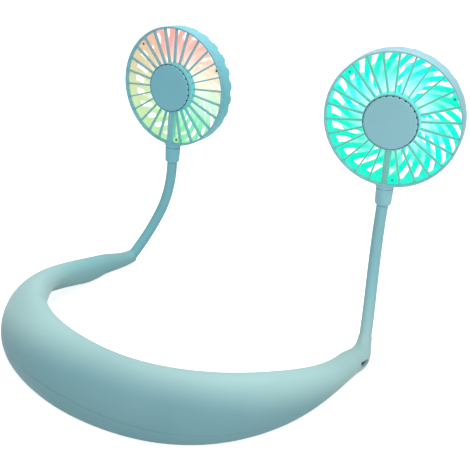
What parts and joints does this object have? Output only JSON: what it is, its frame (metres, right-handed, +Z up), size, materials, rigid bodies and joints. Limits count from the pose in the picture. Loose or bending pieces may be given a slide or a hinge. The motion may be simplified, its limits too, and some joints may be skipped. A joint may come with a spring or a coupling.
{
  "type": "neck fan",
  "caption": "Wearable neck fan: a hollow U-shaped band that rests on the shoulders, bendable necks at its tips and lit round fan heads with spoked grilles",
  "frame": {"origin": "on the resting plane, at the middle of the flat strip under the back of the band", "axes": "+X to the wearer's right, +Y forward to the open side of the U, +Z up"},
  "size_m": [0.2388, 0.2152, 0.1705],
  "materials": {
    "soft_aqua": "soft-touch matte, pale aqua",
    "sleeve_aqua": "matte silicone sleeve",
    "clear_blade": "translucent, lit from the hub",
    "led_lens": "clear LED package",
    "board_green": "solder mask",
    "component_black": "moulded components",
    "cell_foil": "pouch foil",
    "wire_red": "wire insulation",
    "port_steel": "stamped shell",
    "core_steel": "drawn wire",
    "motor_steel": "zinc plated can",
    "pad_felt": "wool felt"
  },
  "bodies": {
    "band": {"band_upper_shell": "soft_aqua", "band_lower_shell": "soft_aqua", "battery_left": "cell_foil", "battery_right": "cell_foil", "main_board": "board_green", "board_parts": "component_black", "usb_port": "port_steel", "usb_board": "board_green", "button_board": "board_green", "button_switch": "component_black", "harness_left": "wire_red", "harness_right": "wire_red"},
    "power_button": {"power_button": "soft_aqua"},
    "left_neck": {"left_neck_sleeve": "sleeve_aqua", "left_neck_core": "core_steel", "left_neck_lead": "wire_red"},
    "left_head": {"left_collar": "soft_aqua", "left_front_grille": "soft_aqua", "left_rear_housing": "soft_aqua", "left_motor": "motor_steel", "left_led_board": "board_green", "left_leds": "led_lens", "left_scent_pad": "pad_felt", "left_rib_lead": "wire_red"},
    "left_impeller": {"left_impeller": "clear_blade", "left_motor_shaft": "core_steel"},
    "left_cap": {"left_scent_cap": "soft_aqua"},
    "right_neck": {"right_neck_sleeve": "sleeve_aqua", "right_neck_core": "core_steel", "right_neck_lead": "wire_red"},
    "right_head": {"right_collar": "soft_aqua", "right_front_grille": "soft_aqua", "right_rear_housing": "soft_aqua", "right_motor": "motor_steel", "right_led_board": "board_green", "right_leds": "led_lens", "right_scent_pad": "pad_felt", "right_rib_lead": "wire_red"},
    "right_impeller": {"right_impeller": "clear_blade", "right_motor_shaft": "core_steel"},
    "right_cap": {"right_scent_cap": "soft_aqua"}
  },
  "joints": [
    {"name": "left_neck_bend", "type": "hinge", "parent": "band", "child": "left_neck", "pos_m": [-0.09665, 0.14989, 0.01403], "axis": [1, 0, 0], "range_deg": [-30, 35], "deforming": ["left_neck_sleeve", "left_neck_core", "left_neck_lead"]},
    {"name": "left_head_bend", "type": "hinge", "parent": "left_neck", "child": "left_head", "pos_m": [-0.08522, 0.17186, 0.05704], "axis": [0.9888, 0.1344, -0.0645], "range_deg": [-40, 40], "deforming": ["left_neck_sleeve", "left_neck_core", "left_neck_lead"]},
    {"name": "left_impeller_spin", "type": "hinge", "parent": "left_head", "child": "left_impeller", "pos_m": [-0.0804, 0.1695, 0.126], "axis": [0.1373, -0.9896, 0.0436], "continuous": true},
    {"name": "left_cap_lift", "type": "slide", "parent": "left_head", "child": "left_cap", "axis": [0.1373, -0.9896, 0.0436], "range_m": [0, 0.015]},
    {"name": "right_neck_bend", "type": "hinge", "parent": "band", "child": "right_neck", "pos_m": [0.09664, 0.14989, 0.01403], "axis": [1, 0, 0], "range_deg": [-30, 35], "deforming": ["right_neck_sleeve", "right_neck_core", "right_neck_lead"]},
    {"name": "right_head_bend", "type": "hinge", "parent": "right_neck", "child": "right_head", "pos_m": [0.0737, 0.19049, 0.06144], "axis": [0.9641, 0.2636, -0.0314], "range_deg": [-40, 40], "deforming": ["right_neck_sleeve", "right_neck_core", "right_neck_lead"]},
    {"name": "right_impeller_spin", "type": "hinge", "parent": "right_head", "child": "right_impeller", "pos_m": [0.0783, 0.1818, 0.1299], "axis": [0.2618, -0.9637, -0.0523], "continuous": true},
    {"name": "right_cap_lift", "type": "slide", "parent": "right_head", "child": "right_cap", "axis": [0.2618, -0.9637, -0.0523], "range_m": [0, 0.015]},
    {"name": "button_press", "type": "slide", "parent": "band", "child": "power_button", "axis": [0.9981, -0.0621, 0], "range_m": [0, 0.0005], "stiffness_N_per_m": 800}
  ]
}
